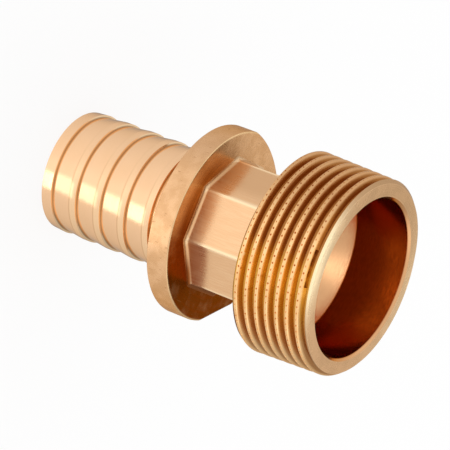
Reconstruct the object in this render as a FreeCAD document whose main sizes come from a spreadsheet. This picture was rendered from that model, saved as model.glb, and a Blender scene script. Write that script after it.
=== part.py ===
import FreeCAD, Part
import os
import re
import Sketcher
from FreeCAD import Placement, Rotation, Vector

# PEX male adapter in one piece: a toothed stub for a 32 x 4.4 mm pipe, a flange,
# an eight-sided wrench section and an R 1 1/4 taper thread, cast in gunmetal and turned.
# It stands on its pipe end. Z runs up the bore, and the origin is the middle of the pipe end.
# The threaded collar is made first, and the rest is built on to its back.

# Sizes in millimetres and degrees
SIZES = {
    "stub_length": 31.5,
    "crest_radius": 12.6,
    "lead_drop": 0.2,
    "first_crest": 2.5,
    "tooth_count": 5,
    "tooth_pitch": 6.0,
    "tooth_depth": 0.55,
    "tooth_step": 0.1,
    "tooth_land": 1.5,
    "flange_radius": 19.7,
    "flange_thickness": 5.0,
    "flange_edge": 0.35,
    "gate_radius": 25.2,
    "gate_depth": 1.6,
    "gate_angle": 139.7,
    "trim_depth": 0.8,
    "trim_angle": 28.7,
    "wrench_flats": 26.0,
    "wrench_length": 15.9,
    "corner_round": 0.4,
    "foot_round": 0.8,
    "thread_length": 16.8,
    "thread_radius": 20.22,
    "thread_taper": 16,
    "thread_pitch": 2.309,
    "thread_depth": 1.15,
    "thread_flank": 27.5,
    "root_width": 0.5,
    "thread_exit": 151.2,
    "spare_turns": 4,
    "collar_edge": 0.3,
    "end_chamfer": 0.75,
    "bore_radius": 10.0,
    "socket_radius": 16.3,
    "socket_depth": 12.4,
    "shoulder_angle": 59.0,
    "mouth_chamfer": 0.5,
    "cutter_rise": 0.3,
    "cut_margin": 2.0,
}

# Heights above the pipe end
FLANGE_BACK = "stub_length"
FLANGE_FRONT = FLANGE_BACK + " + flange_thickness"
COLLAR_BACK = FLANGE_FRONT + " + wrench_length"
END_FACE = COLLAR_BACK + " + thread_length"
BLANK_START = COLLAR_BACK + " - spare_turns * thread_pitch"
BLANK_END = END_FACE + " + spare_turns * thread_pitch"

# Flats of the wrench section
SIDES = 8


def write_sizes(doc):
    """One row for each size: its name, and its value under the same name as alias."""
    sheet = doc.addObject("Spreadsheet::Sheet", "Sizes")
    for row, (name, value) in enumerate(SIZES.items(), start=1):
        sheet.set(f"A{row}", name)
        sheet.set(f"B{row}", str(value))
        sheet.setAlias(f"B{row}", name)
    doc.recompute()


def tied(text):
    """Turns a sum of size names into an expression on the sheet."""
    return re.sub(r"[a-z_]+", lambda word: "Sizes." + word[0] if word[0] in SIZES else word[0], text)


def measure(owner, text):
    """The value that a sum of size names has now."""
    return float(owner.evalExpression(tied(text)))


def new_sketch(body, name, role, height="0", turn="0"):
    """A sketch on one of the body's own planes. On the level one it's raised and turned by the sheet."""
    sketch = body.newObject("Sketcher::SketchObject", name)
    plane = next(item for item in body.Origin.OriginFeatures if item.Role == role)
    sketch.AttachmentSupport = [(plane, "")]
    sketch.MapMode = "FlatFace"
    if role == "XY_Plane":
        sketch.AttachmentOffset = Placement(Vector(0, 0, 1), Rotation(Vector(0, 0, 1), 1))
        sketch.setExpression("AttachmentOffset.Base.z", tied(height))
        sketch.setExpression("AttachmentOffset.Rotation.Angle", tied(turn))
    return sketch


def hold(sketch, line, x_text, y_text):
    """Fixes the start of a line at a place given by two expressions."""
    for kind, text, axis in (("DistanceX", x_text, -2), ("DistanceY", y_text, -1)):
        if text == "0":
            sketch.addConstraint(Sketcher.Constraint("PointOnObject", line, 1, axis))
            continue
        value = measure(sketch, text)
        index = sketch.addConstraint(Sketcher.Constraint(kind, -1, 1, line, 1, value))
        sketch.setExpression(f"Constraints[{index}]", tied(text))


def outline(sketch, corners):
    """A closed outline of straight lines through corners given as pairs of expressions."""
    places = [Vector(measure(sketch, x), measure(sketch, y), 0) for x, y in corners]
    lines = [sketch.addGeometry(Part.LineSegment(start, end), False)
             for start, end in zip(places, places[1:] + places[:1])]
    for line, following in zip(lines, lines[1:] + lines[:1]):
        sketch.addConstraint(Sketcher.Constraint("Coincident", line, 2, following, 1))
    for line, (x_text, y_text) in zip(lines, corners):
        hold(sketch, line, x_text, y_text)


def turned(body, kind, name, *outlines):
    """A feature turned about Z from outlines given as pairs of radius and height."""
    sketch = new_sketch(body, name + "Sketch", "XZ_Plane")
    for corners in outlines:
        outline(sketch, corners)
    feature = body.newObject(kind, name)
    feature.Profile = sketch
    feature.ReferenceAxis = (sketch, ["V_Axis"])
    feature.Angle = 360
    return feature


def edges_within(feature, low, high, near, far):
    """Names of the edges that lie wholly between two heights and between two radii."""
    found = []
    for index, edge in enumerate(feature.Shape.Edges, start=1):
        points = edge.discretize(7)
        level = all(low < point.z < high for point in points)
        if level and all(near < Vector(point.x, point.y, 0).Length < far for point in points):
            found.append(f"Edge{index}")
    return found


def dressed(body, kind, name, base, edges, setting, size):
    """A round or chamfer of one size along the named edges of a feature."""
    feature = body.newObject(kind, name)
    feature.Base = (base, edges)
    feature.setExpression(setting, tied(size))
    return feature


def crest_at(height):
    """Crest radius of the taper thread at a height, measured from its gauge plane at the end face."""
    return f"thread_radius + ({END_FACE} - ({height})) / 2 / thread_taper"


def add_collar(body):
    """The tapered blank of the threaded collar, some turns of thread too long at both ends."""
    return turned(body, "PartDesign::Revolution", "Collar", [
        ("0", BLANK_START),
        (crest_at(BLANK_START), BLANK_START),
        (crest_at(BLANK_END), BLANK_END),
        ("0", BLANK_END),
    ])


def cut_thread(body):
    """The right-hand thread groove, wound on the taper from below the collar to above it."""
    turns_below = "ceil(thread_length / thread_pitch) + 1"
    middle = f"{END_FACE} - thread_pitch * (thread_exit / 360 + {turns_below})"
    rise = "(thread_depth + cutter_rise)"
    half = f"root_width / 2 + {rise} * tan(thread_flank)"
    root = crest_at(middle) + " - thread_depth"
    sketch = new_sketch(body, "ThreadSketch", "XZ_Plane")
    outline(sketch, [
        (root, f"{middle} - root_width / 2"),
        (f"{root} + {rise}", f"{middle} - ({half})"),
        (f"{root} + {rise}", f"{middle} + {half}"),
        (root, f"{middle} + root_width / 2"),
    ])
    thread = body.newObject("PartDesign::SubtractiveHelix", "Thread")
    thread.Profile = sketch
    thread.ReferenceAxis = (sketch, ["V_Axis"])
    thread.Mode = "pitch-turns-angle"
    thread.HasBeenEdited = True
    thread.setExpression("Pitch", tied("thread_pitch"))
    thread.setExpression("Turns", tied(f"{turns_below} + 2"))
    thread.setExpression("Angle", tied("-atan(1 / 2 / thread_taper)"))
    return thread


def face_ends(body):
    """Turns the spare length off both ends of the collar and breaks their edges."""
    back = crest_at(COLLAR_BACK)
    front = crest_at(END_FACE)
    return turned(body, "PartDesign::Groove", "EndFaces", [
        ("0", COLLAR_BACK),
        (f"{back} - collar_edge", COLLAR_BACK),
        (f"{back} + cut_margin", f"{COLLAR_BACK} + collar_edge + cut_margin"),
        (f"{back} + cut_margin", f"{BLANK_START} - cut_margin"),
        ("0", f"{BLANK_START} - cut_margin"),
    ], [
        ("0", END_FACE),
        (f"{front} - end_chamfer", END_FACE),
        (f"{front} + cut_margin", f"{END_FACE} - end_chamfer - cut_margin"),
        (f"{front} + cut_margin", f"{BLANK_END} + cut_margin"),
        ("0", f"{BLANK_END} + cut_margin"),
    ])


def add_wrench(body):
    """The eight-sided section for a spanner, its corners lightly rounded."""
    sketch = new_sketch(body, "WrenchSketch", "XY_Plane", FLANGE_FRONT)
    corner = f"wrench_flats / 2 / cos(180 / {SIDES})"
    radius = measure(sketch, corner)
    turns = [Rotation(Vector(0, 0, 1), 360 / SIDES * (side - 0.5)) for side in range(SIDES)]
    corners = [turn.multVec(Vector(radius, 0, 0)) for turn in turns]
    for start, end in zip(corners, corners[1:] + corners[:1]):
        sketch.addGeometry(Part.LineSegment(start, end), False)
    circle = sketch.addGeometry(Part.Circle(Vector(0, 0, 0), Vector(0, 0, 1), radius), True)
    sketch.addConstraint(Sketcher.Constraint("Coincident", circle, 3, -1, 1))
    for side in range(SIDES):
        sketch.addConstraint(Sketcher.Constraint("Coincident", side, 2, (side + 1) % SIDES, 1))
        sketch.addConstraint(Sketcher.Constraint("PointOnObject", side, 1, circle))
    for side in range(1, SIDES):
        sketch.addConstraint(Sketcher.Constraint("Equal", 0, side))
    sketch.addConstraint(Sketcher.Constraint("Vertical", 0))
    index = sketch.addConstraint(Sketcher.Constraint("Radius", circle, radius))
    sketch.setExpression(f"Constraints[{index}]", tied(corner))
    pad = body.newObject("PartDesign::Pad", "Wrench")
    pad.Profile = sketch
    pad.setExpression("Length", tied("wrench_length"))
    body.Document.recompute()
    low = measure(pad, FLANGE_FRONT) - 1e-3
    high = measure(pad, COLLAR_BACK) + 1e-3
    upright = edges_within(pad, low, high, radius - 1e-3, radius + 1e-3)
    return dressed(body, "PartDesign::Fillet", "CornerRounds", pad, upright, "Radius", "corner_round")


def add_stub_and_flange(body):
    """The turned pipe stub before its teeth are cut, with the flange that stops the pipe's sleeve."""
    blank = turned(body, "PartDesign::Revolution", "Stub", [
        ("0", "0"),
        ("crest_radius - lead_drop", "0"),
        ("crest_radius", "first_crest"),
        ("crest_radius", FLANGE_BACK),
        ("flange_radius", FLANGE_BACK),
        ("flange_radius", FLANGE_FRONT),
        ("0", FLANGE_FRONT),
    ])
    body.Document.recompute()
    rim = measure(blank, "flange_radius")
    low = measure(blank, FLANGE_BACK) - 1e-3
    high = measure(blank, FLANGE_FRONT) + 1e-3
    edges = [name for name in edges_within(blank, low, high, rim - 1e-3, rim + 1e-3)
             if blank.Shape.getElement(name).Closed]
    rims = dressed(body, "PartDesign::Chamfer", "FlangeEdges", blank, edges, "Size", "flange_edge")
    body.Document.recompute()
    corner = measure(rims, f"wrench_flats / 2 / cos(180 / {SIDES})")
    foot = edges_within(rims, high - 2e-3, high, 0, corner)
    return dressed(body, "PartDesign::Fillet", "FootRound", rims, foot, "Radius", "foot_round")


def cut_teeth(body):
    """Gaps that leave saw teeth, steep towards the flange so that the pipe can't slip off."""
    gap = turned(body, "PartDesign::Groove", "ToothGap", [
        ("crest_radius", "first_crest"),
        ("crest_radius - tooth_depth", "first_crest + tooth_step"),
        ("crest_radius", "first_crest + tooth_pitch - tooth_land"),
        ("crest_radius + cut_margin", "first_crest + tooth_pitch - tooth_land"),
        ("crest_radius + cut_margin", "first_crest"),
    ])
    rows = body.newObject("PartDesign::LinearPattern", "ToothGaps")
    rows.Originals = [gap]
    rows.Direction = (gap.Profile[0], ["V_Axis"])
    rows.setExpression("Occurrences", tied("tooth_count"))
    rows.setExpression("Length", tied("tooth_pitch * (tooth_count - 1)"))
    body.Tip = rows
    return rows


def cut_down(body, name, sketch):
    """Cuts a sketch on the flange's front straight down through the flange."""
    pocket = body.newObject("PartDesign::Pocket", name)
    pocket.Profile = sketch
    pocket.Type = "Length"
    pocket.setExpression("Length", tied("flange_thickness"))
    return pocket


def grind_gate(body):
    """The place on the rim where the casting's gate was ground away, a flatter arc."""
    sketch = new_sketch(body, "GateSketch", "XY_Plane", FLANGE_FRONT, "gate_angle")
    for line, text in enumerate(("gate_radius", "gate_radius + gate_depth + cut_margin")):
        radius = measure(sketch, text)
        sketch.addGeometry(Part.Circle(Vector(-1, 0, 0), Vector(0, 0, 1), radius), False)
        index = sketch.addConstraint(Sketcher.Constraint("Radius", line, radius))
        sketch.setExpression(f"Constraints[{index}]", tied(text))
    sketch.addConstraint(Sketcher.Constraint("Coincident", 0, 3, 1, 3))
    sketch.addConstraint(Sketcher.Constraint("PointOnObject", 0, 3, -1))
    offset = "gate_radius + gate_depth - flange_radius"
    distance = Sketcher.Constraint("DistanceX", 0, 3, -1, 1, measure(sketch, offset))
    sketch.setExpression(f"Constraints[{sketch.addConstraint(distance)}]", tied(offset))
    return cut_down(body, "GateGrind", sketch)


def grind_flash(body):
    """A flat on the rim where the casting's flash was ground away."""
    sketch = new_sketch(body, "TrimSketch", "XY_Plane", FLANGE_FRONT, "trim_angle")
    outline(sketch, [
        ("flange_radius - trim_depth", "-flange_radius"),
        ("flange_radius + cut_margin", "-flange_radius"),
        ("flange_radius + cut_margin", "flange_radius"),
        ("flange_radius - trim_depth", "flange_radius"),
    ])
    return cut_down(body, "TrimGrind", sketch)


def cut_bore(body):
    """The waterway: a bore through the stub that opens by a cone into the wide socket."""
    shoulder = END_FACE + " - socket_depth"
    return turned(body, "PartDesign::Groove", "Bore", [
        ("0", "-cut_margin"),
        ("bore_radius", "-cut_margin"),
        ("bore_radius", f"{shoulder} - (socket_radius - bore_radius) / tan(shoulder_angle)"),
        ("socket_radius", shoulder),
        ("socket_radius", f"{END_FACE} - mouth_chamfer"),
        ("socket_radius + mouth_chamfer + cut_margin", f"{END_FACE} + cut_margin"),
        ("0", f"{END_FACE} + cut_margin"),
    ])


# Each step, and whether it adds metal or takes it away
STEPS = (
    (add_collar, 1),
    (cut_thread, -1),
    (face_ends, -1),
    (add_wrench, 1),
    (add_stub_and_flange, 1),
    (cut_teeth, -1),
    (grind_gate, -1),
    (grind_flash, -1),
    (cut_bore, -1),
)


def build(doc):
    """Builds the fitting step by step, and stops where a step does not change the metal as it should."""
    body = doc.addObject("PartDesign::Body", "AdapterBody")
    body.Label = "adapter_body"
    volume = 0
    for step, sense in STEPS:
        feature = step(body)
        doc.recompute()
        change = feature.Shape.Volume - volume
        if change * sense <= 0:
            raise ValueError(f"{step.__name__} changed the volume by {change:.1f}")
        volume += change
    return body


def check(doc):
    """Stops if any object failed or holds a faulty shape."""
    for item in doc.Objects:
        if "Invalid" in item.State or "Error" in item.State:
            raise ValueError(f"{item.Name} is {item.State}")
        if item.isDerivedFrom("PartDesign::Feature") and (item.Shape.isNull() or not item.Shape.isValid()):
            raise ValueError(f"{item.Name} has a faulty shape")


def main():
    doc = FreeCAD.newDocument("pex_male_adapter")
    write_sizes(doc)
    body = build(doc)
    check(doc)
    os.makedirs("parts", exist_ok=True)
    body.Shape.exportStep(f"parts/{body.Label}.step")


main()
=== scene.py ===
import math
import bmesh
import bpy
from mathutils import Matrix, Vector


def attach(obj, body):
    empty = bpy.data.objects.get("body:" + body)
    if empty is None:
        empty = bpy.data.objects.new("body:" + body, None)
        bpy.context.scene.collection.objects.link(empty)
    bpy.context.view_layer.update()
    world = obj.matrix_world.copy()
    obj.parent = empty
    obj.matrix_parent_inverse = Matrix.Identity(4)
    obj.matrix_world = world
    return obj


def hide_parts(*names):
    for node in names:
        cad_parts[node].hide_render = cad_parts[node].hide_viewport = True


# PEX male adapter: one gunmetal casting, turned at both ends, bored and threaded. Its regions are
# made one after the other, from the pipe end up, then joined into one skin and bored through.

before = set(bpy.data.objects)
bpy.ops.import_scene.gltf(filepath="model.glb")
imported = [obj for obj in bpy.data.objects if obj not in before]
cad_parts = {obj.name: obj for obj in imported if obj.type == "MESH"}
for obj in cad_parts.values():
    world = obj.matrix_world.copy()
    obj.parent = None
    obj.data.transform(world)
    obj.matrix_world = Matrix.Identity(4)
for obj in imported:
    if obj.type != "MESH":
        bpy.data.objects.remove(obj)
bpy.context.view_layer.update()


# Pipe stub
# The toothed gunmetal spigot that the pipe shrinks over. It is turned from the casting, so it has
# fine rings and sharp saw teeth that are steep on the side of the flange.

mm = 0.001
sides = 320
sunk = 1.5 * mm
stub_length = 31.5 * mm
crest_radius = 12.6 * mm
lead_drop = 0.2 * mm
end_land = 1.0 * mm
first_crest = 2.5 * mm
tooth_count = 5
tooth_pitch = 6.0 * mm
tooth_depth = 0.55 * mm
tooth_step = 0.1 * mm
tooth_land = 1.5 * mm
tooth_edge = 0.05 * mm
edge_steps = 3
longest_arc = 0.45

copper_gold = (0.80, 0.50, 0.285)
pale_copper = (0.84, 0.54, 0.33)
# Painted highlight on each step, shadow in its corner, and sheen and shade line on each land
step_gleam = (0.86, 0.62, 0.38)
corner_shadow = (0.24, 0.12, 0.045)
land_gleam = (0.90, 0.62, 0.36)
seam_shadow = (0.50, 0.27, 0.11)

# Each pair is where a change of painted light or shade begins and where it is full: past a crest,
# then under one, then along the stub and towards its lower side.
step_ends = (0.14 * mm, 0.10 * mm)
corner_ends = (0.24 * mm, 0.10 * mm)
land_starts = (4.55 * mm, 4.75 * mm)
seam_starts = (4.25 * mm, 4.50 * mm)
seam_ends = (4.75 * mm, 4.60 * mm)
step_drops = (0.04 * mm, 0.12 * mm)
corner_drops = (0.24 * mm, 0.42 * mm)
teeth_start = (2.6 * mm, 2.8 * mm)
lower_starts = (-8.0 * mm, -2.0 * mm)

# Nearly all of a noise lies in these spans
wide_span = (0.25, 0.75)
soft_span = (0.3, 0.7)
firm_span = (0.35, 0.65)


class Socket:
    """A shader value that can be used in sums. Each sum adds its Math node to the same tree."""

    def __init__(self, tree, link):
        self.tree = tree
        self.link = link

    def math(self, operation, *others):
        return add_node(self.tree, "ShaderNodeMath", {"operation": operation}, self, *others)

    def __add__(self, other):
        return self.math("ADD", other)

    def __sub__(self, other):
        return self.math("SUBTRACT", other)

    def __mul__(self, other):
        return self.math("MULTIPLY", other)

    def __truediv__(self, other):
        return self.math("DIVIDE", other)

    def __rsub__(self, other):
        return add_node(self.tree, "ShaderNodeMath", {"operation": "SUBTRACT"}, other, self)

    __radd__ = __add__
    __rmul__ = __mul__


def add_node(tree, kind, settings, *values, output=0, **named):
    """Adds one node: its settings first, then the values or links of its sockets."""
    node = tree.nodes.new(kind)
    for name, value in settings.items():
        setattr(node, name, value)
    for place, value in [*enumerate(values), *named.items()]:
        if isinstance(place, str):
            place = place.replace("_", " ")
        if isinstance(value, Socket):
            tree.links.new(value.link, node.inputs[place])
        elif value is not None:
            node.inputs[place].default_value = value
    return Socket(tree, node.outputs[output])


def ramp(value, low, high, start=0.0, end=1.0):
    """A smooth step of a value from one number to another."""
    return add_node(value.tree, "ShaderNodeMapRange", {"interpolation_type": "SMOOTHSTEP"},
                    value, low, high, start, end)


def blend_colour(share, first, second):
    """Two colours mixed by a share."""
    settings = {"data_type": "RGBA"}
    first_place, second_place, mixed = 6, 7, 2
    node = add_node(share.tree, "ShaderNodeMix", settings, share, output=mixed).link.node
    for place, colour in ((first_place, first), (second_place, second)):
        if isinstance(colour, Socket):
            share.tree.links.new(colour.link, node.inputs[place])
        else:
            node.inputs[place].default_value = (*colour, 1)
    return Socket(share.tree, node.outputs[mixed])


def tint(shade, zone, colour, strength=1.0):
    """A shade turned towards a colour where a zone lies."""
    return blend_colour(zone * strength, shade, colour)


def noise(place, scale, detail, roughness=0.5):
    """A cloudy pattern over the surface."""
    return add_node(place.tree, "ShaderNodeTexNoise", {}, place,
                    Scale=scale, Detail=detail, Roughness=roughness)


def facing(azimuth, elevation=0):
    """A unit vector in a direction given in degrees."""
    turn, rise = math.radians(azimuth), math.radians(elevation)
    return Vector((math.cos(turn) * math.cos(rise), math.sin(turn) * math.cos(rise), math.sin(rise)))


def along(place, direction):
    """How far a place lies in a direction."""
    return add_node(place.tree, "ShaderNodeVectorMath", {"operation": "DOT_PRODUCT"},
                    place, direction, output="Value")


def start_metal(name, edge_tint=(1.0, 0.85, 0.7)):
    """An empty gunmetal material, the place on the piece, and the radius and height there."""
    material = bpy.data.materials.new(name)
    material.use_nodes = True
    tree = material.node_tree
    shader = tree.nodes["Principled BSDF"]
    shader.inputs["Metallic"].default_value = 1.0
    shader.inputs["Specular Tint"].default_value = (*edge_tint, 1)
    place = add_node(tree, "ShaderNodeTexCoord", {}, output="Object")
    x, y, z = (add_node(tree, "ShaderNodeSeparateXYZ", {}, place, output=axis) for axis in "XYZ")
    return material, place, (x * x + y * y).math("SQRT"), z


def finish_metal(material, colour, roughness, height, relief):
    """Links what changes over the surface: colour, roughness and relief."""
    tree = material.node_tree
    shader = tree.nodes["Principled BSDF"]
    bump = add_node(tree, "ShaderNodeBump", {}, Strength=1.0, Distance=relief, Height=height)
    tree.links.new(colour.link, shader.inputs["Base Color"])
    tree.links.new(roughness.link, shader.inputs["Roughness"])
    tree.links.new(bump.link, shader.inputs["Normal"])
    return material


def lathe_rings(across, z, scale):
    """The fine rings that a turning tool leaves, as a noise of radius and height alone."""
    rings = add_node(z.tree, "ShaderNodeCombineXYZ", {}, across * scale, 0.0, z * scale)
    return noise(rings, scale=1.0, detail=3.0, roughness=0.6)


lower_side = facing(15)


def stub_finish_and_painted_light():
    """The smoothest turning on the fitting, with a faint mottle of the casting. Each tooth has a
    painted highlight on its step over a painted shadow in its corner, and a painted sheen on its
    land that begins after a painted shade line."""
    material, place, across, z = start_metal("turned_stub")
    fine = lathe_rings(across, z, scale=6000.0)
    mottle = noise(place, scale=160.0, detail=3.0)
    past_crest = ((z - first_crest) / tooth_pitch).math("FRACT") * tooth_pitch
    under_crest = crest_radius - across
    step = ramp(past_crest, *step_ends) * ramp(under_crest, *step_drops)
    corner = ramp(past_crest, *corner_ends) * ramp(under_crest, *corner_drops)
    toothed = ramp(z, *teeth_start) * ramp(along(place, lower_side), *lower_starts, start=0.15)
    land = ramp(past_crest, *land_starts) * toothed
    seam = ramp(past_crest, *seam_starts) * ramp(past_crest, *seam_ends) * toothed
    shade = blend_colour(ramp(mottle, *soft_span, end=0.35), copper_gold, pale_copper)
    shade = tint(shade, step, step_gleam)
    shade = tint(shade, corner, corner_shadow, strength=0.6)
    shade = tint(shade, land, land_gleam, strength=0.5)
    shade = tint(shade, seam, seam_shadow, strength=0.35)
    roughness = ramp(fine, *wide_span, start=0.11, end=0.19)
    return finish_metal(material, shade, roughness, height=fine, relief=0.010 * mm)


def soften(corners, radius):
    """An outline with a small arc at each inner corner, as a turned edge has."""
    soft = [corners[0]]
    for before, corner, after in zip(corners, corners[1:], corners[2:]):
        corner = Vector(corner)
        back, ahead = Vector(before) - corner, Vector(after) - corner
        half = back.normalized().angle(ahead.normalized()) / 2
        reach = min(radius / math.tan(half), back.length * longest_arc, ahead.length * longest_arc)
        back, ahead = back.normalized(), ahead.normalized()
        middle = corner + (back + ahead).normalized() * reach / math.cos(half)
        start, end = corner + back * reach - middle, corner + ahead * reach - middle
        first = math.atan2(start.y, start.x)
        bend = (math.atan2(end.y, end.x) - first + math.pi) % (2 * math.pi) - math.pi
        for step in range(edge_steps + 1):
            turn = first + bend * step / edge_steps
            soft.append(middle + start.length * Vector((math.cos(turn), math.sin(turn))))
    soft.append(corners[-1])
    return soft


def skin(name, rings, material):
    """A closed mesh over rings of points, with a pole at each end."""
    mesh = bpy.data.meshes.new(name)
    shape = bmesh.new()
    loops = [[shape.verts.new(point) for point in ring] for ring in rings]
    for low, high in zip(loops, loops[1:]):
        for index in range(len(low)):
            after = (index + 1) % len(low)
            shape.faces.new((low[index], low[after], high[after], high[index]))
    for loop, flip in ((loops[0], True), (loops[-1], False)):
        centre = sum((vert.co for vert in loop), Vector()) / len(loop)
        pole = shape.verts.new((0, 0, centre.z))
        for index in range(len(loop)):
            edge = (loop[index], loop[(index + 1) % len(loop)])
            shape.faces.new((*reversed(edge), pole) if flip else (*edge, pole))
    bmesh.ops.recalc_face_normals(shape, faces=shape.faces)
    shape.to_mesh(mesh)
    shape.free()
    mesh.materials.append(material)
    piece = bpy.data.objects.new(name, mesh)
    bpy.context.scene.collection.objects.link(piece)
    return piece


def circle(radius, height):
    """A level ring of points."""
    turns = (2 * math.pi * step / sides for step in range(sides))
    return [(radius * math.cos(turn), radius * math.sin(turn), height) for turn in turns]


stub_outline = [(crest_radius - lead_drop - end_land, 0), (crest_radius - lead_drop, 0)]
for tooth in range(tooth_count):
    crest = first_crest + tooth * tooth_pitch
    stub_outline += [
        (crest_radius, crest),
        (crest_radius - tooth_depth, crest + tooth_step),
        (crest_radius, crest + tooth_pitch - tooth_land),
    ]
stub_outline.append((crest_radius, stub_length + sunk))
stub_rings = [circle(radius, height) for radius, height in soften(stub_outline, tooth_edge)]
casting = skin("adapter", stub_rings, stub_finish_and_painted_light())


# Flange
# The cast gunmetal stop for the pipe. Its rim is left as cast, with the marks of two grinds: a wide
# hollow where the gate sat, and a small flat where flash came off.

flange_radius = 19.7 * mm
flange_thickness = 5.0 * mm
flange_edge = 0.35 * mm
flange_inner = crest_radius - 2.0 * mm
face_ring = flange_radius * 0.9
gate_radius = 25.2 * mm
gate_depth = 1.6 * mm
gate_angle = math.radians(139.7)
trim_depth = 0.8 * mm
trim_angle = math.radians(28.7)
flange_front = stub_length + flange_thickness

cast_copper = (0.76, 0.455, 0.24)
cast_brown = (0.67, 0.385, 0.19)
# Painted shade for the rim and back on the upper side
rim_upper_shade = (0.56, 0.33, 0.18)
# Painted shade on the front face: orange, redder towards the lower side, with darker rings
face_shade_orange = (0.46, 0.175, 0.045)
face_shade_red = (0.18, 0.028, 0.005)
face_shade_ring = (0.12, 0.035, 0.01)
scratch_brown = (0.30, 0.13, 0.05)
edge_gleam = (0.80, 0.55, 0.29)
# The upper side: painted shade fades from the flange face towards it and gathers on other parts there
upper_side = facing(165)

# Changes of painted shade and highlight, and of finish, towards the upper side, towards the lower
# side, across the face, and from the front and the rim
upper_starts = (0.0 * mm, 9.0 * mm)
face_lit_starts = (3.0 * mm, 15.0 * mm)
face_shade_reddens = (-9.0 * mm, 3.0 * mm)
lit_rim_side = (4.0 * mm, -4.0 * mm)
lit_rim_starts = (15.5 * mm, 19.0 * mm)
front_starts = (-0.25 * mm, -0.05 * mm)
edge_starts = (-0.5 * mm, -0.1 * mm)
scratch_span = (0.66, 0.74)
patch_span = (0.2, 0.5)
grain_height = 0.5
mottle_height = 1.5


def rim_loss(angle):
    """How far the grinds lie inside the round rim at an angle."""
    off = gate_radius + gate_depth - flange_radius
    turn = math.cos(angle - gate_angle)
    gate = math.sqrt(gate_radius ** 2 - off ** 2 * (1 - turn ** 2)) - off * turn
    turn = math.cos(angle - trim_angle)
    flat = (flange_radius - trim_depth) / turn if turn > 0 else flange_radius
    return flange_radius - min(flange_radius, gate, flat)


def rim_ring(radius, height):
    """A ring of the flange, drawn in where the rim is ground."""
    ring = []
    for step in range(sides):
        angle = 2 * math.pi * step / sides
        reach = radius - (rim_loss(angle) if radius > flange_inner else 0)
        ring.append((reach * math.cos(angle), reach * math.sin(angle), height))
    return ring


def streaks(place, scale, detail, turn=(0, 0, 0), roughness=0.5):
    """A noise drawn out along a direction, as brushing leaves it."""
    drawn = add_node(place.tree, "ShaderNodeMapping", {}, place, Rotation=turn, Scale=scale)
    return noise(drawn, scale=1.0, detail=detail, roughness=roughness)


def cast_finish_and_painted_light():
    """Cast metal with a soft grain and short dark scratches. The front face has a patchy painted shade
    with faint rings, redder towards the lower side, fading out towards the upper side and near the
    rim on that half. The rim and the back have painted shade towards the upper side, and the rim a
    painted highlight along its front edge."""
    material, place, across, z = start_metal("cast_flange", edge_tint=(0.95, 0.68, 0.45))
    grain = noise(place, scale=1400.0, detail=4.0)
    mottle = noise(place, scale=220.0, detail=4.0)
    cloud = noise(place, scale=420.0, detail=3.0)
    scratches = streaks(place, scale=(3000.0, 260.0, 700.0), detail=2.0, turn=(0.5, 0.9, 0.2))
    mark = ramp(scratches, *scratch_span)
    towards = along(place, upper_side)
    lower = along(place, lower_side)
    front = ramp(z - flange_front, *front_starts)
    upper = ramp(towards, *upper_starts) * (1 - front)
    lit_upper_rim = ramp(across, *lit_rim_starts, end=0.75) * ramp(lower, *lit_rim_side)
    patches = ramp(mottle, *patch_span, start=0.8)
    # Where the front face carries its patchy painted shade
    face_shade_share = front * (1 - ramp(towards, *face_lit_starts)) * patches * (1 - lit_upper_rim)
    rings = ramp(lathe_rings(across, z, scale=2600.0), *firm_span)
    painted_face_shade = blend_colour(ramp(lower, *face_shade_reddens), face_shade_orange, face_shade_red)
    painted_face_shade = tint(painted_face_shade, rings, face_shade_ring, strength=0.45)
    shade = blend_colour(ramp(cloud, *firm_span), cast_copper, cast_brown)
    # Painted shade on the rim and back towards the upper side
    shade = tint(shade, upper, rim_upper_shade, strength=0.6)
    shade = tint(shade, face_shade_share, painted_face_shade)
    shade = tint(shade, mark, scratch_brown, strength=0.5)
    # Painted highlight along the rim's front edge
    shade = tint(shade, ramp(across - flange_radius, *edge_starts) * front, edge_gleam)
    roughness = ramp(grain, *soft_span, start=0.24, end=0.36)
    height = grain * grain_height + mottle * mottle_height - mark
    return finish_metal(material, shade, roughness, height, relief=0.012 * mm)


flange_outline = soften([
    (flange_inner, stub_length),
    (face_ring, stub_length),
    (flange_radius, stub_length),
    (flange_radius, flange_front),
    (face_ring, flange_front),
    (flange_inner, flange_front),
], flange_edge)
flange = skin("flange", [rim_ring(*point) for point in flange_outline], cast_finish_and_painted_light())


# Wrench section
# Eight gunmetal flats for a spanner, cast and then brushed along the bore, with rounded corners
# and a round at the foot where they meet the flange.

wrench_flats = 26.0 * mm
wrench_length = 15.5 * mm
wrench_sides = 8
corner_round = 0.4 * mm
corner_steps = 6
foot_round = 0.8 * mm
foot_steps = 6
collar_back = flange_front + wrench_length

brushed_dark = (0.76, 0.45, 0.24)
brushed_pale = (0.82, 0.52, 0.29)
# Painted shade, strongest on the flats towards the upper side
upper_flat_shade = (0.60, 0.35, 0.18)
corner_gleam = (0.90, 0.65, 0.40)
# Painted shade in the round at the foot
foot_crease_shade = (0.45, 0.22, 0.08)
foot_shadow = (0.24, 0.07, 0.016)

# Changes of painted shade, highlight and roughness towards the upper side, at the corners, up from
# the flange, and towards the lower side
flat_shade_starts = (2.0 * mm, 6.0 * mm)
corner_starts = (13.82 * mm, 14.0 * mm)
foot_ends = (foot_round, 0.2 * mm)
dull_ends = (6.0 * mm, 1.0 * mm)
foot_shade_starts = (3.0 * mm, 9.0 * mm)
flat_waviness = 0.6


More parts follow.
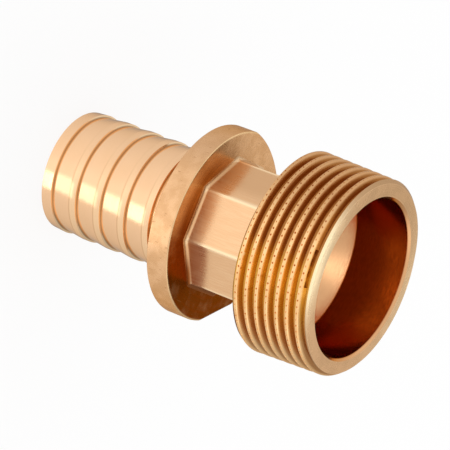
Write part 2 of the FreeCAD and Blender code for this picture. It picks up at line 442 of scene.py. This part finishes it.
def wrench_ring(grown, height):
    """The eight-sided outline, grown by an amount, with its corners rounded."""
    ring = []
    side_turn = 2 * math.pi / wrench_sides
    corner = corner_round + grown
    across = wrench_flats / 2 + grown
    reach = (across - corner) / math.cos(side_turn / 2)
    for side in range(wrench_sides):
        middle = side_turn * (side + 0.5)
        for step in range(corner_steps + 1):
            turn = side_turn * (side + step / corner_steps)
            x = reach * math.cos(middle) + corner * math.cos(turn)
            y = reach * math.sin(middle) + corner * math.sin(turn)
            ring.append((x, y, height))
    return ring


def brushed_finish_and_painted_light():
    """Flats with long fine streaks, a painted highlight along the corners, and painted shade that is
    strongest on the flats towards the upper side. They are duller near the foot, where the brush
    hardly reached, and the round there has painted shade, deeper towards the lower side."""
    material, place, across, z = start_metal("brushed_wrench")
    fine = streaks(place, scale=(5200.0, 5200.0, 230.0), detail=3.0, roughness=0.65)
    mottle = noise(place, scale=260.0, detail=3.0)
    above = z - flange_front
    foot = ramp(above, *foot_ends)
    painted_flat_shade = ramp(along(place, upper_side), *flat_shade_starts, start=0.1, end=0.8)
    shaded_foot = foot * ramp(along(place, lower_side), *foot_shade_starts)
    shade = blend_colour(ramp(fine, *firm_span), brushed_dark, brushed_pale)
    # Painted shade on the flats, strongest towards the upper side
    shade = tint(shade, painted_flat_shade, upper_flat_shade)
    # Painted highlight along the rounded corners of the flats
    shade = tint(shade, ramp(across, *corner_starts), corner_gleam)
    # Painted shade in the round at the foot, where the flats meet the flange
    shade = tint(shade, foot, foot_crease_shade, strength=0.4)
    shade = tint(shade, shaded_foot, foot_shadow)
    roughness = ramp(fine, *soft_span, start=0.12, end=0.24) + ramp(above, *dull_ends, end=0.22)
    height = fine + mottle * flat_waviness
    return finish_metal(material, shade, roughness, height, relief=0.010 * mm)


wrench_rings = [wrench_ring(foot_round, flange_front - sunk)]
for step in range(foot_steps + 1):
    turn = math.pi / 2 * step / foot_steps
    rise = foot_round * (1 - math.cos(turn))
    grown = foot_round * (1 - math.sin(turn))
    wrench_rings.append(wrench_ring(grown, flange_front + rise))
wrench_rings.append(wrench_ring(0, collar_back + sunk))
wrench = skin("wrench", wrench_rings, brushed_finish_and_painted_light())


# Threaded collar
# A right-hand R 1 1/4 taper thread in gunmetal. The blank is turned to the taper, the groove is cut
# along a helix, and the crests are broken and nicked so that hemp or tape holds on them.

thread_length = 17.2 * mm
thread_radius = 20.16 * mm
thread_taper = 16
thread_pitch = 2.309 * mm
thread_depth = 1.15 * mm
thread_flank = math.radians(27.5)
thread_exit = 75.0 / 360
root_width = 0.5 * mm
clear_height = 0.3 * mm
spare_turns = 1
collar_inner = thread_radius - 6.0 * mm
collar_chamfer = 0.3 * mm
collar_edge = 0.05 * mm
end_chamfer = 0.75 * mm
end_face = collar_back + thread_length

# The broken crests, the nicks in them, and the lip torn by the last cut
crest_break = 0.08 * mm
break_rise = 0.05 * mm
break_slope = 1.67
nicks_a_turn = 94
nick_steps = 5
nick_depth = 0.35 * mm
nick_width = 0.6 * mm
nick_floor = nick_width * 0.4
smallest_nick = 0.5
nick_scatter = 0.7549
between_nicks = 0.04
torn_turn = -0.20
torn_reach = 0.03
torn_depth = 1.3 * mm
torn_width = 0.36 * mm
torn_drop = torn_width * 1.2
torn_size = 0.97
torn_waver = 0.12
torn_waves = 0.7
beside_tear = 0.03

thread_gold = (0.90, 0.57, 0.28)
thread_copper = (0.82, 0.48, 0.21)
# Painted shade on the crests towards the upper side
upper_crest_shade = (0.62, 0.34, 0.155)
# Painted shade in the thread's roots, olive, red or brown by side
root_shade_olive = (0.55, 0.265, 0.018)
root_shade_red = (0.32, 0.105, 0.010)
root_shade_brown = (0.42, 0.18, 0.06)
back_shadow = (0.20, 0.09, 0.03)
face_brown = (0.52, 0.32, 0.165)
face_copper = (0.62, 0.38, 0.20)
# Painted light on the end face towards the lower side
lower_face_light = (0.84, 0.50, 0.27)
# Painted shade on the bevel below the end face
bevel_shade = (0.30, 0.15, 0.06)
fan_gleam = (1.0, 0.80, 0.50)
# Painted highlight on the outer edge of the end face
face_edge_gleam = (0.92, 0.66, 0.40)
fan_side = facing(-88)
face_reach = 18.4 * mm
near_fan_power = 9.0
far_fan_power = 4.0
far_fan_strength = 0.35
thread_waviness = 0.3

# Changes of finish and of painted light and shade below the crests, down from the end face, up from
# the collar's back, across the end face, and towards the upper and the lower side
root_starts = (0.10 * mm, 0.55 * mm)
thread_starts = (-0.7 * mm, -0.9 * mm)
bevel_starts = (-0.01 * mm, -0.06 * mm)
edge_light_ends = (-0.9 * mm, -0.6 * mm)
back_ends = (0.28 * mm, 0.05 * mm)
edge_light_starts = (19.3 * mm, 19.5 * mm)
root_shade_red_starts = (-9.0 * mm, -4.0 * mm)
crest_shade_starts = (-5.0 * mm, 10.0 * mm)
root_shade_brown_starts = (5.0 * mm, 14.0 * mm)
face_light_starts = (-18.0 * mm, 18.0 * mm)


def crest_at(height):
    """Crest radius of the taper at a height."""
    return thread_radius + (end_face - height) / (2 * thread_taper)


def thread_finish_and_painted_light():
    """Cut metal: bright crests with painted shade on the upper side, roots in painted shade, a painted
    shadow at the collar's back, and an end face with turned rings, painted light towards the lower
    side, painted shade on its bevel, painted highlight fans as such rings give, and a painted
    highlight along its outer edge."""
    material, place, across, z = start_metal("threaded_collar")
    fine = lathe_rings(across, z, scale=5000.0)
    mottle = noise(place, scale=300.0, detail=4.0)
    towards = along(place, upper_side)
    lower = along(place, lower_side)
    below_face = z - end_face
    threaded = ramp(below_face, *thread_starts)
    root = ramp(crest_at(z) - across, *root_starts) * threaded
    # Painted shade for the roots: olive far from the upper side, red elsewhere, browner towards the lower
    # side
    root_shade = blend_colour(ramp(towards, *root_shade_red_starts), root_shade_olive, root_shade_red)
    root_shade = tint(root_shade, ramp(lower, *root_shade_brown_starts), root_shade_brown)
    shade = blend_colour(ramp(mottle, *soft_span), thread_gold, thread_copper)
    # Painted shade on the crests towards the upper side
    shade = tint(shade, ramp(towards, *crest_shade_starts), upper_crest_shade)
    shade = tint(shade, root, root_shade, strength=0.85)
    shade = tint(shade, ramp(z - collar_back, *back_ends), back_shadow, strength=0.75)

    rings = lathe_rings(across, z, scale=9000.0)
    # Painted highlight fans on the end face, where turned rings catch light
    fan = along(place, fan_side) / face_reach
    near_fan = fan.math("MAXIMUM", 0.0).math("POWER", near_fan_power).math("MINIMUM", 1.0)
    far_fan = (fan * -1.0).math("MAXIMUM", 0.0).math("POWER", far_fan_power)
    # Painted highlight on the outer edge of the end face
    face_edge_light = ramp(across, *edge_light_starts) * ramp(below_face, *edge_light_ends)
    turned = blend_colour(ramp(rings, *firm_span), face_brown, face_copper)
    # Painted light on the end face towards the lower side
    turned = tint(turned, ramp(lower, *face_light_starts), lower_face_light, strength=0.3)
    # Painted shade on the bevel below the end face
    turned = tint(turned, ramp(below_face, *bevel_starts), bevel_shade, strength=0.85)
    turned = tint(turned, near_fan + far_fan * far_fan_strength, fan_gleam)
    shade = tint(shade, 1 - threaded, turned)
    shade = tint(shade, face_edge_light, face_edge_gleam, strength=0.2)
    roughness = ramp(mottle, *soft_span, start=0.22, end=0.32)
    height = fine + mottle * thread_waviness
    return finish_metal(material, shade, roughness, height, relief=0.03 * mm)


def helix_cutter(path, depth, narrow, wide, rise, swell=None):
    """A closed bar along the helix: narrow at its depth below the crests, wide where it stands
    clear, and thicker where it swells."""
    corners = ((rise, -wide), (rise, wide), (-depth, narrow), (-depth, -narrow))
    points = {}
    for number, (across, along_helix) in enumerate(corners, 1):
        points[f"Point {number}"] = (across, along_helix / 2, 0)
    profile = add_node(path.tree, "GeometryNodeCurvePrimitiveQuadrilateral", {"mode": "POINTS"}, **points)
    return add_node(path.tree, "GeometryNodeCurveToMesh", {}, path, profile, Scale=swell, Fill_Caps=True)


def moved(path, offset):
    """A path moved by an offset."""
    return add_node(path.tree, "GeometryNodeTransform", {}, path, Translation=offset)


def settle(piece, modifier):
    """Keeps what a modifier makes as the piece's own mesh."""
    shaped = piece.evaluated_get(bpy.context.evaluated_depsgraph_get())
    mesh = bpy.data.meshes.new_from_object(shaped)
    piece.modifiers.remove(modifier)
    piece.data = mesh


collar_metal = thread_finish_and_painted_light()
collar_outline = soften([
    (collar_inner, collar_back),
    (crest_at(collar_back) - collar_chamfer, collar_back),
    (crest_at(collar_back + collar_chamfer), collar_back + collar_chamfer),
    (crest_at(end_face - end_chamfer), end_face - end_chamfer),
    (thread_radius - end_chamfer, end_face),
    (collar_inner, end_face),
], collar_edge)
collar = skin("collar", [circle(*point) for point in collar_outline], collar_metal)

turns_below = math.ceil(thread_length / thread_pitch) + spare_turns
turns = turns_below + 2 * spare_turns
start = end_face - thread_pitch * (thread_exit + turns_below)
sizes = {
    "Pitch": thread_pitch,
    "Turns": turns,
    "Start Radius": crest_at(start),
    "End Radius": crest_at(start + turns * thread_pitch),
    "Start Height": start,
}
tree = bpy.data.node_groups.new("thread_cut", "GeometryNodeTree")
tree.interface.new_socket("Blank", in_out="INPUT", socket_type="NodeSocketGeometry")
keys = {}
for name in sizes:
    keys[name] = tree.interface.new_socket(name, in_out="INPUT", socket_type="NodeSocketFloat").identifier
tree.interface.new_socket("Cut", in_out="OUTPUT", socket_type="NodeSocketGeometry")
group = tree.nodes.new("NodeGroupInput")
given = {name: Socket(tree, group.outputs[name]) for name in ("Blank", *sizes)}

spiral = add_node(tree, "GeometryNodeCurveSpiral", {}, Resolution=sides, Reverse=True,
                  Rotations=given["Turns"], Height=given["Pitch"] * given["Turns"],
                  Start_Radius=given["Start Radius"], End_Radius=given["End Radius"])
upright = add_node(tree, "GeometryNodeSetCurveNormal", {"mode": "Z_UP"}, spiral)
helix = moved(upright, add_node(tree, "ShaderNodeCombineXYZ", {}, Z=given["Start Height"]))
flank = math.tan(thread_flank)
mouth = root_width + 2 * thread_depth * flank
groove = helix_cutter(helix, thread_depth, root_width, mouth + 2 * clear_height * flank, clear_height)
worn_back = mouth - 2 * crest_break * flank
spread = worn_back + 2 * break_slope * (crest_break + break_rise)
broken = helix_cutter(helix, crest_break, worn_back, spread, break_rise)

points_a_turn = nicks_a_turn * nick_steps
dotted = add_node(tree, "GeometryNodeResampleCurve", {}, helix, Count=given["Turns"] * points_a_turn)
index = add_node(tree, "GeometryNodeInputIndex", {})
nick = (index / nick_steps).math("FLOOR")
at_nick = (index / nick_steps - nick).math("LESS_THAN", 0.5 / nick_steps)
nick_size = (nick * nick_scatter).math("FRACT") * (1 - smallest_nick) + smallest_nick
nicked = at_nick * nick_size + between_nicks
from_tear = (index / points_a_turn - (turns_below + torn_turn)).math("ABSOLUTE")
torn = from_tear.math("LESS_THAN", torn_reach)
ragged = torn * ((index * torn_waves).math("SINE") * torn_waver + torn_size) + beside_tear
dents = helix_cutter(moved(dotted, (0, 0, (mouth + nick_width) / 2)), nick_depth, nick_floor,
                     nick_width, nick_depth / 2, nicked)
tear = helix_cutter(moved(dotted, (0, 0, -torn_drop)), torn_depth, torn_width,
                    torn_width, torn_depth / 3, ragged)

cut = add_node(tree, "GeometryNodeMeshBoolean", {"operation": "DIFFERENCE", "solver": "MANIFOLD"},
               Mesh_1=given["Blank"])
for cutter in (groove, broken, tear, dents):
    tree.links.new(cutter.link, cut.link.node.inputs["Mesh 2"])
real = add_node(tree, "GeometryNodeRealizeInstances", {}, cut)
painted = add_node(tree, "GeometryNodeSetMaterial", {}, real, Material=collar_metal)
tree.links.new(painted.link, tree.nodes.new("NodeGroupOutput").inputs["Cut"])

cutting = collar.modifiers.new("thread_cut", "NODES")
cutting.node_group = tree
for name, value in sizes.items():
    cutting[keys[name]] = float(value)
settle(collar, cutting)


# Waterway
# The way through the gunmetal: the stub's bore opens by a cone into a wide socket. The socket is
# cored in the casting, and the cone and the bore are cut.

bore_radius = 10.0 * mm
bore_edge = 0.08 * mm
socket_radius = 16.3 * mm
socket_depth = 12.4 * mm
shoulder_angle = math.radians(59.0)
mouth_chamfer = 0.5 * mm
clear_ends = 2.0 * mm
shoulder = end_face - socket_depth

cone_copper = (0.64, 0.35, 0.17)
# Painted shade on the cored wall of the socket, dark red with streaks
wall_shade_red = (0.43, 0.115, 0.017)
wall_shade_dark = (0.33, 0.08, 0.011)
# Painted light: a lighter, mostly non-metal copper in the bore, so that it glows
bore_glow_copper = (0.80, 0.40, 0.16)
wall_starts = (-0.2 * mm, -0.05 * mm)
wall_ends = (-0.3 * mm, -0.6 * mm)
bore_starts = (0.3 * mm, 0.1 * mm)
bore_diffuse_share = 0.8
wall_roughness = 0.04


def bore_finish_and_painted_light():
    """The cored wall of the socket has a streaked dark red painted shade, the cone below it is cut
    bright, and the bore is painted a lighter, mostly non-metal copper so that it glows.
    """
    material, place, across, z = start_metal("bored", edge_tint=(0.9, 0.4, 0.15))
    tree = material.node_tree
    fine = lathe_rings(across, z, scale=4000.0)
    streak_noise = streaks(place, scale=(900.0, 900.0, 5000.0), detail=4.0)
    wall = ramp(across - socket_radius, *wall_starts) * ramp(z - end_face, *wall_ends)
    bore = ramp(across - bore_radius, *bore_starts)
    # Painted shade on the cored wall of the socket, dark red with streaks
    wall_shade = blend_colour(ramp(streak_noise, *soft_span), wall_shade_red, wall_shade_dark)
    shade = blend_colour(wall, cone_copper, wall_shade)
    # Painted light: a lighter, mostly non-metal copper in the bore, so that it glows
    shade = tint(shade, bore, bore_glow_copper)
    tree.links.new((1 - bore * bore_diffuse_share).link, tree.nodes["Principled BSDF"].inputs["Metallic"])
    roughness = ramp(streak_noise, *soft_span, start=0.14, end=0.22) + wall * wall_roughness
    return finish_metal(material, shade, roughness, height=fine, relief=0.006 * mm)


bore_outline = soften([
    (bore_radius, -clear_ends),
    (bore_radius, shoulder - (socket_radius - bore_radius) / math.tan(shoulder_angle)),
    (socket_radius, shoulder),
    (socket_radius, end_face - mouth_chamfer),
    (socket_radius + mouth_chamfer + clear_ends, end_face + clear_ends),
], bore_edge)
waterway = skin("waterway", [circle(*point) for point in bore_outline], bore_finish_and_painted_light())


# One casting
# The regions become one closed skin of gunmetal, open from end to end. Its edges stay sharp where
# two surfaces meet at an angle.

sharp_angle = math.radians(26)
flat_weight = 80


def combine(piece, other, operation):
    """Joins or cuts a piece with another, and takes the other away."""
    step = piece.modifiers.new(operation.lower(), "BOOLEAN")
    step.operation = operation
    step.solver = "MANIFOLD"
    step.material_mode = "TRANSFER"
    step.object = other
    settle(piece, step)
    bpy.data.objects.remove(other)


for region in (flange, wrench, collar):
    combine(casting, region, "UNION")
combine(casting, waterway, "DIFFERENCE")
casting.data.set_sharp_from_angle(angle=sharp_angle)
for face in casting.data.polygons:
    face.use_smooth = True
shading = casting.modifiers.new("even_shading", "WEIGHTED_NORMAL")
shading.keep_sharp = True
shading.weight = flat_weight
settle(casting, shading)
casting.data.name = "adapter"
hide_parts("adapter_body")
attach(casting, "root")


# Studio
# A pale floor under the pipe end, a tent of light that only the metal's reflections see, three
# soft panels, and the camera of the photograph.

floor_reach = 600 * mm
floor_grey = (0.9, 0.9, 0.9, 1)
floor_roughness = 0.9
floor_white = 0.85
white = (1, 1, 1, 1)

floor_mesh = bpy.data.meshes.new("floor")
floor_corners = [(x * floor_reach, y * floor_reach, 0) for x, y in ((-1, -1), (1, -1), (1, 1), (-1, 1))]
floor_mesh.from_pydata(floor_corners, [], [(0, 1, 2, 3)])
floor = bpy.data.objects.new("floor", floor_mesh)
bpy.context.scene.collection.objects.link(floor)
floor_paint = bpy.data.materials.new("pale_floor")
floor_paint.use_nodes = True
tree = floor_paint.node_tree
shader = tree.nodes["Principled BSDF"]
shader.inputs["Base Color"].default_value = floor_grey
shader.inputs["Roughness"].default_value = floor_roughness
plain = Socket(tree, shader.outputs["BSDF"])
paper = add_node(tree, "ShaderNodeEmission", {}, Color=white, Strength=1.0)
seen = add_node(tree, "ShaderNodeLightPath", {}, output="Is Camera Ray")
cover = add_node(tree, "ShaderNodeMixShader", {}, seen * floor_white, plain, paper)
tree.links.new(cover.link, tree.nodes["Material Output"].inputs["Surface"])
floor_mesh.materials.append(floor_paint)
floor.visible_glossy = False
floor.visible_shadow = False

# Bright and dark places in the tent: azimuth, elevation, how narrow each is, and its strength
tent_places = {
    "below_the_front": (-95, -45, 2, 0.30),
    "ceiling": (0, 90, 12, 0.15),
    "dark_right": (50, 20, 3, -0.40),
    "lamp_overhead": (0, 90, 70, 1.15),
    "front": (-91, 28, 6, 0.4),
    "left": (172, 38, 8, 0.2),
    "right": (-1, 29, 8, 0.7),
    "dark_below_the_back": (95, -35, 8, -0.6),
    "low_spot": (-80, -38, 30, 0.2),
}
tent_dimming = 0.05

world = bpy.data.worlds.new("studio")
world.use_nodes = True
bpy.context.scene.world = world
tree = world.node_tree
backdrop = tree.nodes["Background"]
backdrop.inputs["Color"].default_value = white
way = add_node(tree, "ShaderNodeTexCoord", {}, output="Generated")
mirrored = add_node(tree, "ShaderNodeLightPath", {}, output="Is Glossy Ray")
tent = -tent_dimming
for azimuth, elevation, narrowness, strength in tent_places.values():
    nearness = along(way, facing(azimuth, elevation)).math("MAXIMUM", 0.0)
    tent = tent + nearness.math("POWER", narrowness) * strength
tree.links.new((mirrored * tent + 1.0).link, backdrop.inputs["Strength"])


def panel(name, azimuth, elevation, distance, width, height, brightness):
    """A soft panel that faces the fitting from a direction."""
    data = bpy.data.lights.new(name, "AREA")
    data.shape = "RECTANGLE"
    data.size = width
    data.size_y = height
    data.energy = brightness * math.pi * width * height
    lamp = bpy.data.objects.new(name, data)
    lamp.visible_camera = False
    bpy.context.scene.collection.objects.link(lamp)
    away = facing(azimuth, elevation)
    lamp.location = away * distance + Vector((0, 0, end_face / 2))
    lamp.rotation_euler = away.to_track_quat("Z", "Y").to_euler()


panel("key", azimuth=-51, elevation=-44, distance=410 * mm,
      width=172 * mm, height=210 * mm, brightness=0.8)
panel("bright_strip", azimuth=-51, elevation=-41, distance=400 * mm,
      width=172 * mm, height=18 * mm, brightness=3.6)
panel("back", azimuth=90, elevation=52, distance=600 * mm,
      width=300 * mm, height=200 * mm, brightness=1.5)

picture_width = 450
focal_pixels = 3436
sensor_width = 36.0
camera_place = Vector((11.09, -592.23, 369.29)) * mm
aim = Vector((-0.27, 0.02, 36.19)) * mm
camera_roll = math.radians(110.91)

data = bpy.data.cameras.new("camera")
data.sensor_width = sensor_width
data.lens = focal_pixels / picture_width * sensor_width
camera = bpy.data.objects.new("camera", data)
bpy.context.scene.collection.objects.link(camera)
look = (camera_place - aim).to_track_quat("Z", "Y").to_matrix()
turned_look = look @ Matrix.Rotation(camera_roll, 3, "Z")
camera.matrix_world = Matrix.Translation(camera_place) @ turned_look.to_4x4()
bpy.context.scene.camera = camera
bpy.context.scene.view_settings.view_transform = "Standard"
